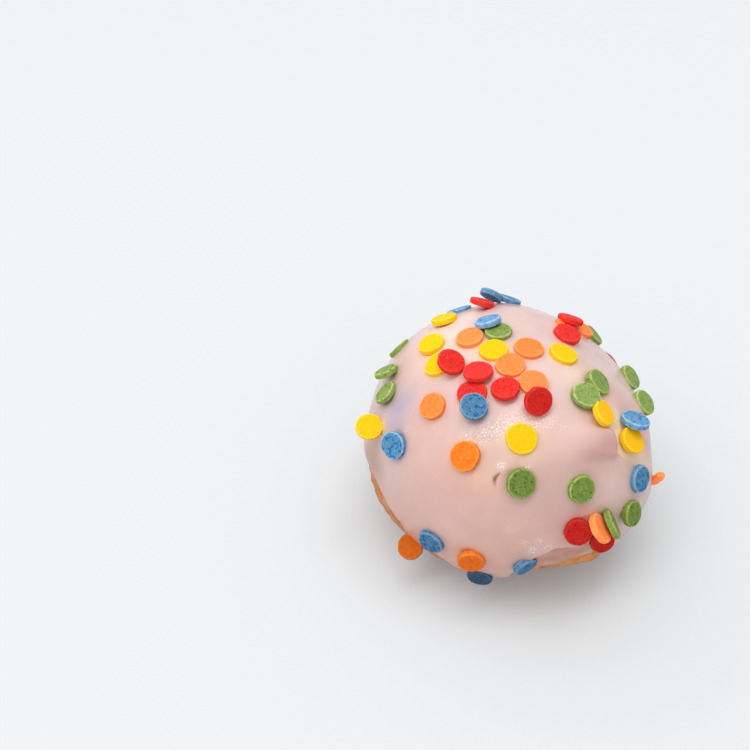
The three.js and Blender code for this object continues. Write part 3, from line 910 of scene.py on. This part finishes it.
# each kind's face, its darker blots, pale flecks, holes and painted rim highlight, each a colour and how
# much of it;
# few is the share of holes left out, and pale how far a disc painted lighter goes towards white, a
# painted sheen
confettiLooks = {
    "yellow": {
        "face": (244, 184, 2), "blot": (240, 172, 0), "blots": 0.4,
        "fleck": (255, 222, 84), "flecks": 0.22, "hole": (222, 156, 0), "holes": 0.3, "few": 0.6,
        "rim": (255, 222, 84), "rimHighlights": 0.5, "pale": 0.0,
    },
    "orange": {
        "face": (250, 120, 18), "blot": (240, 98, 6), "blots": 0.55,
        "fleck": (255, 160, 72), "flecks": 0.4, "hole": (206, 76, 8), "holes": 0.6, "few": 0.5,
        "rim": (255, 172, 88), "rimHighlights": 0.6, "pale": 0.05,
    },
    "red": {
        "face": (216, 36, 28), "blot": (190, 20, 16), "blots": 0.5,
        "fleck": (246, 88, 74), "flecks": 0.45, "hole": (140, 12, 12), "holes": 0.7, "few": 0.45,
        "rim": (244, 78, 62), "rimHighlights": 0.5, "pale": 0.01,
    },
    "green": {
        "face": (122, 144, 66), "blot": (86, 126, 34), "blots": 0.7,
        "fleck": (158, 178, 112), "flecks": 0.5, "hole": (36, 58, 18), "holes": 1.0, "few": 0.25,
        "rim": (180, 198, 108), "rimHighlights": 0.85, "pale": 0.03,
    },
    "blue": {
        "face": (90, 144, 184), "blot": (10, 106, 172), "blots": 0.9,
        "fleck": (156, 192, 216), "flecks": 0.4, "hole": (20, 48, 84), "holes": 0.8, "few": 0.55,
        "rim": (176, 210, 234), "rimHighlights": 0.75, "pale": 0.03,
    },
}
# grain of the discs; paleFrom is the shade value over which painted light turns a disc towards white as
# a painted sheen
confettiGrain = {
    "blot": 1250.0, "blotFrom": (0.50, 0.62), "fleck": 2300.0, "fleckFrom": (0.57, 0.68),
    "hole": 1100.0, "holeSize": (0.11, 0.23), "highlightGaps": 1300.0, "highlightGapsFrom": (0.35, 0.6),
    "highlightGapsLeast": 0.4, "powder": 5200.0, "paleFrom": (0.97, 1.12),
    "roughness": (0.5, 0.68), "dent": 0.00010, "holeDepth": 0.00006, "powderDepth": 0.00005,
}


def confettiMaterial(kind):
    look = confettiLooks[kind]
    grain = confettiGrain
    material, tree, shader = newMaterial("confetti_" + kind, {
        "Subsurface Weight": 0.15, "Subsurface Scale": 0.0006, "IOR": 1.42, "Specular IOR Level": 0.15,
    })
    blots = noiseNode(tree, grain["blot"])
    share = rangeNode(tree, blots, *grain["blotFrom"], 0.0, look["blots"])
    colour = colourMix(tree, share, linear(*look["face"]), linear(*look["blot"]))
    flecks = noiseNode(tree, grain["fleck"])
    share = rangeNode(tree, flecks, *grain["fleckFrom"], 0.0, look["flecks"])
    colour = colourMix(tree, share, colour, linear(*look["fleck"]))
    # the painted rim highlight, broken here and there
    kept = rangeNode(tree, noiseNode(tree, grain["highlightGaps"]), *grain["highlightGapsFrom"], grain["highlightGapsLeast"], 1.0)
    share = timesNode(tree, kept, attributeNode(tree, "rim"))
    share = rangeNode(tree, share, 0.0, 1.0, 0.0, look["rimHighlights"])
    colour = colourMix(tree, share, colour, linear(*look["rim"]))
    # holes: small round cells, of which most are left out
    place = addNode(tree, "TexCoord", {}).outputs["Object"]
    cells = addNode(tree, "TexVoronoi", {"Vector": place, "Scale": grain["hole"]})
    middle = rangeNode(tree, cells.outputs["Distance"], *grain["holeSize"], 1.0, 0.0)
    part = addNode(tree, "SeparateColor", {0: cells.outputs["Color"]}).outputs[0]
    some = rangeNode(tree, part, look["few"], look["few"] + 0.1, 0.0, look["holes"])
    holes = timesNode(tree, middle, some)
    colour = colourMix(tree, holes, colour, linear(*look["hole"]))
    # the colour scaled by the disc's shade value, its random tone with painted light and shade, and
    # lighter discs taken towards white as a painted sheen
    shade = attributeNode(tree, "shade")
    pale = rangeNode(tree, shade, *grain["paleFrom"], 0.0, look["pale"])
    colour = colourMix(tree, pale, colour, np.ones(3))
    bump = bumpNode(tree, rangeNode(tree, holes, 0.0, 1.0, 1.0, 0.0), grain["holeDepth"])
    bump = bumpNode(tree, flecks, grain["dent"], bump)
    setInputs(tree, shader, {
        "Base Color": colourMix(tree, 1.0, colour, greyOf(tree, shade), "MULTIPLY"),
        "Roughness": rangeNode(tree, blots, *noiseSpan, *grain["roughness"]),
        "Normal": bumpNode(tree, noiseNode(tree, grain["powder"]), grain["powderDepth"], bump),
    })
    return material


# the stage: a pale floor that glows faintly, painted light that lifts its shadows, a white sky brighter
# towards the upper left, and a long soft box high above, lower on the left
stage = {
    "floor": (246, 248, 249), "floorShare": 0.66, "floorSize": 8.0,
    # the floor's faint glow: painted light that lifts the shadows on it
    "glow": (196, 222, 240), "glowStrength": 0.10,
    "sky": {"dim": 0.28, "bright": 1.28, "towards": (-85.0, 52.0), "from": -0.55, "to": 1.0},
    "key": {
        "bearing": -49.0, "height": 79.8, "turn": 27.0, "away": 3.6, "long": 4.6, "wide": 0.8,
        "power": 62.0,
    },
}
# the photographer's camera: it looks down by pitch, and aim is the point it holds at pixel
view = {
    "pitch": 40.0, "focal": 833.0, "frame": 750.0, "aim": (0.0, 0.0, 22.0),
    "pixel": (509.5, 441.0), "depth": 190.0, "sensor": 36.0,
}


def makeStage():
    half = stage["floorSize"] / 2
    mesh = bpy.data.meshes.new("floor")
    corners = [(-half, -half, 0), (half, -half, 0), (half, half, 0), (-half, half, 0)]
    mesh.from_pydata(corners, [], [(0, 1, 2, 3)])
    floor = inScene("floor", mesh)
    material, _, _ = newMaterial("floor_pale", {
        "Base Color": (*(linear(*stage["floor"]) * stage["floorShare"]), 1.0),
        "Roughness": 0.9, "Specular IOR Level": 0.0,
        "Emission Color": (*linear(*stage["glow"]), 1.0), "Emission Strength": stage["glowStrength"],
    })
    mesh.materials.append(material)
    world = bpy.data.worlds.new("sky")
    bpy.context.scene.world = world
    world.use_nodes = True
    tree = world.node_tree
    sky = stage["sky"]
    inputs = {0: addNode(tree, "TexCoord", {}).outputs["Generated"], 1: direction(*sky["towards"])}
    along = addNode(tree, "VectorMath", inputs, operation="DOT_PRODUCT").outputs["Value"]
    strength = rangeNode(tree, along, sky["from"], sky["to"], sky["dim"], sky["bright"])
    setInputs(tree, tree.nodes["Background"], {"Color": (1.0, 1.0, 1.0, 1.0), "Strength": strength})
    addLamp("key", stage["key"])


def addLamp(name, key):
    # a rectangle facing the origin from its bearing and height, turned in its own plane
    light = bpy.data.lights.new(name, "AREA")
    light.shape = "RECTANGLE"
    light.size = key["long"]
    light.size_y = key["wide"]
    light.energy = key["power"]
    lamp = inScene(name, light)
    toward = direction(key["bearing"], key["height"])
    turn = math.radians(key["turn"])
    lengthwise = np.array([math.cos(turn), math.sin(turn), 0.0])
    lengthwise -= toward * (toward @ lengthwise)
    lengthwise /= np.linalg.norm(lengthwise)
    turned = np.stack([lengthwise, np.cross(toward, lengthwise), toward], axis=1)
    lamp.rotation_euler = mathutils.Matrix(turned.tolist()).to_euler()
    lamp.location = toward * key["away"]


def makeCamera():
    pitch = math.radians(view["pitch"])
    ahead = np.array([0.0, math.cos(pitch), -math.sin(pitch)])
    upward = np.array([0.0, math.sin(pitch), math.cos(pitch)])
    middle = view["frame"] / 2
    right = (view["pixel"][0] - middle) / view["focal"]
    down = (view["pixel"][1] - middle) / view["focal"]
    offset = ahead + np.array([1.0, 0.0, 0.0]) * right - upward * down
    camera = bpy.data.cameras.new("camera")
    camera.sensor_width = view["sensor"]
    camera.lens = view["sensor"] * view["focal"] / view["frame"]
    camera.clip_start = 0.01
    camera.clip_end = 20.0
    holder = inScene("camera", camera)
    holder.location = (np.array(view["aim"]) - view["depth"] * offset) * mm
    holder.rotation_euler = (math.pi / 2 - pitch, 0.0, 0.0)
    bpy.context.scene.camera = holder


makeCamera()
makeStage()
bpy.context.scene.view_settings.view_transform = "Standard"
print("stage and camera made")

choux = crustPiece()
choux.data.materials.append(crustMaterial())
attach(choux, "root")
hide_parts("choux")
print("crust made:", len(choux.data.polygons), "faces")

coat = icingPiece()
coat.data.materials.append(icingMaterial())
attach(coat, "root")
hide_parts("icing")
print("icing made:", len(coat.data.polygons), "faces")

for number, kind in enumerate(kinds):
    discs = confettiPiece(number)
    discs.data.materials.append(confettiMaterial(kind))
    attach(discs, "root")
    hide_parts("icing")
bit = brokenBitPiece()
bit.data.materials.append(bpy.data.materials["confetti_orange"])
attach(bit, "root")
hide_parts("icing")
print("confetti made")
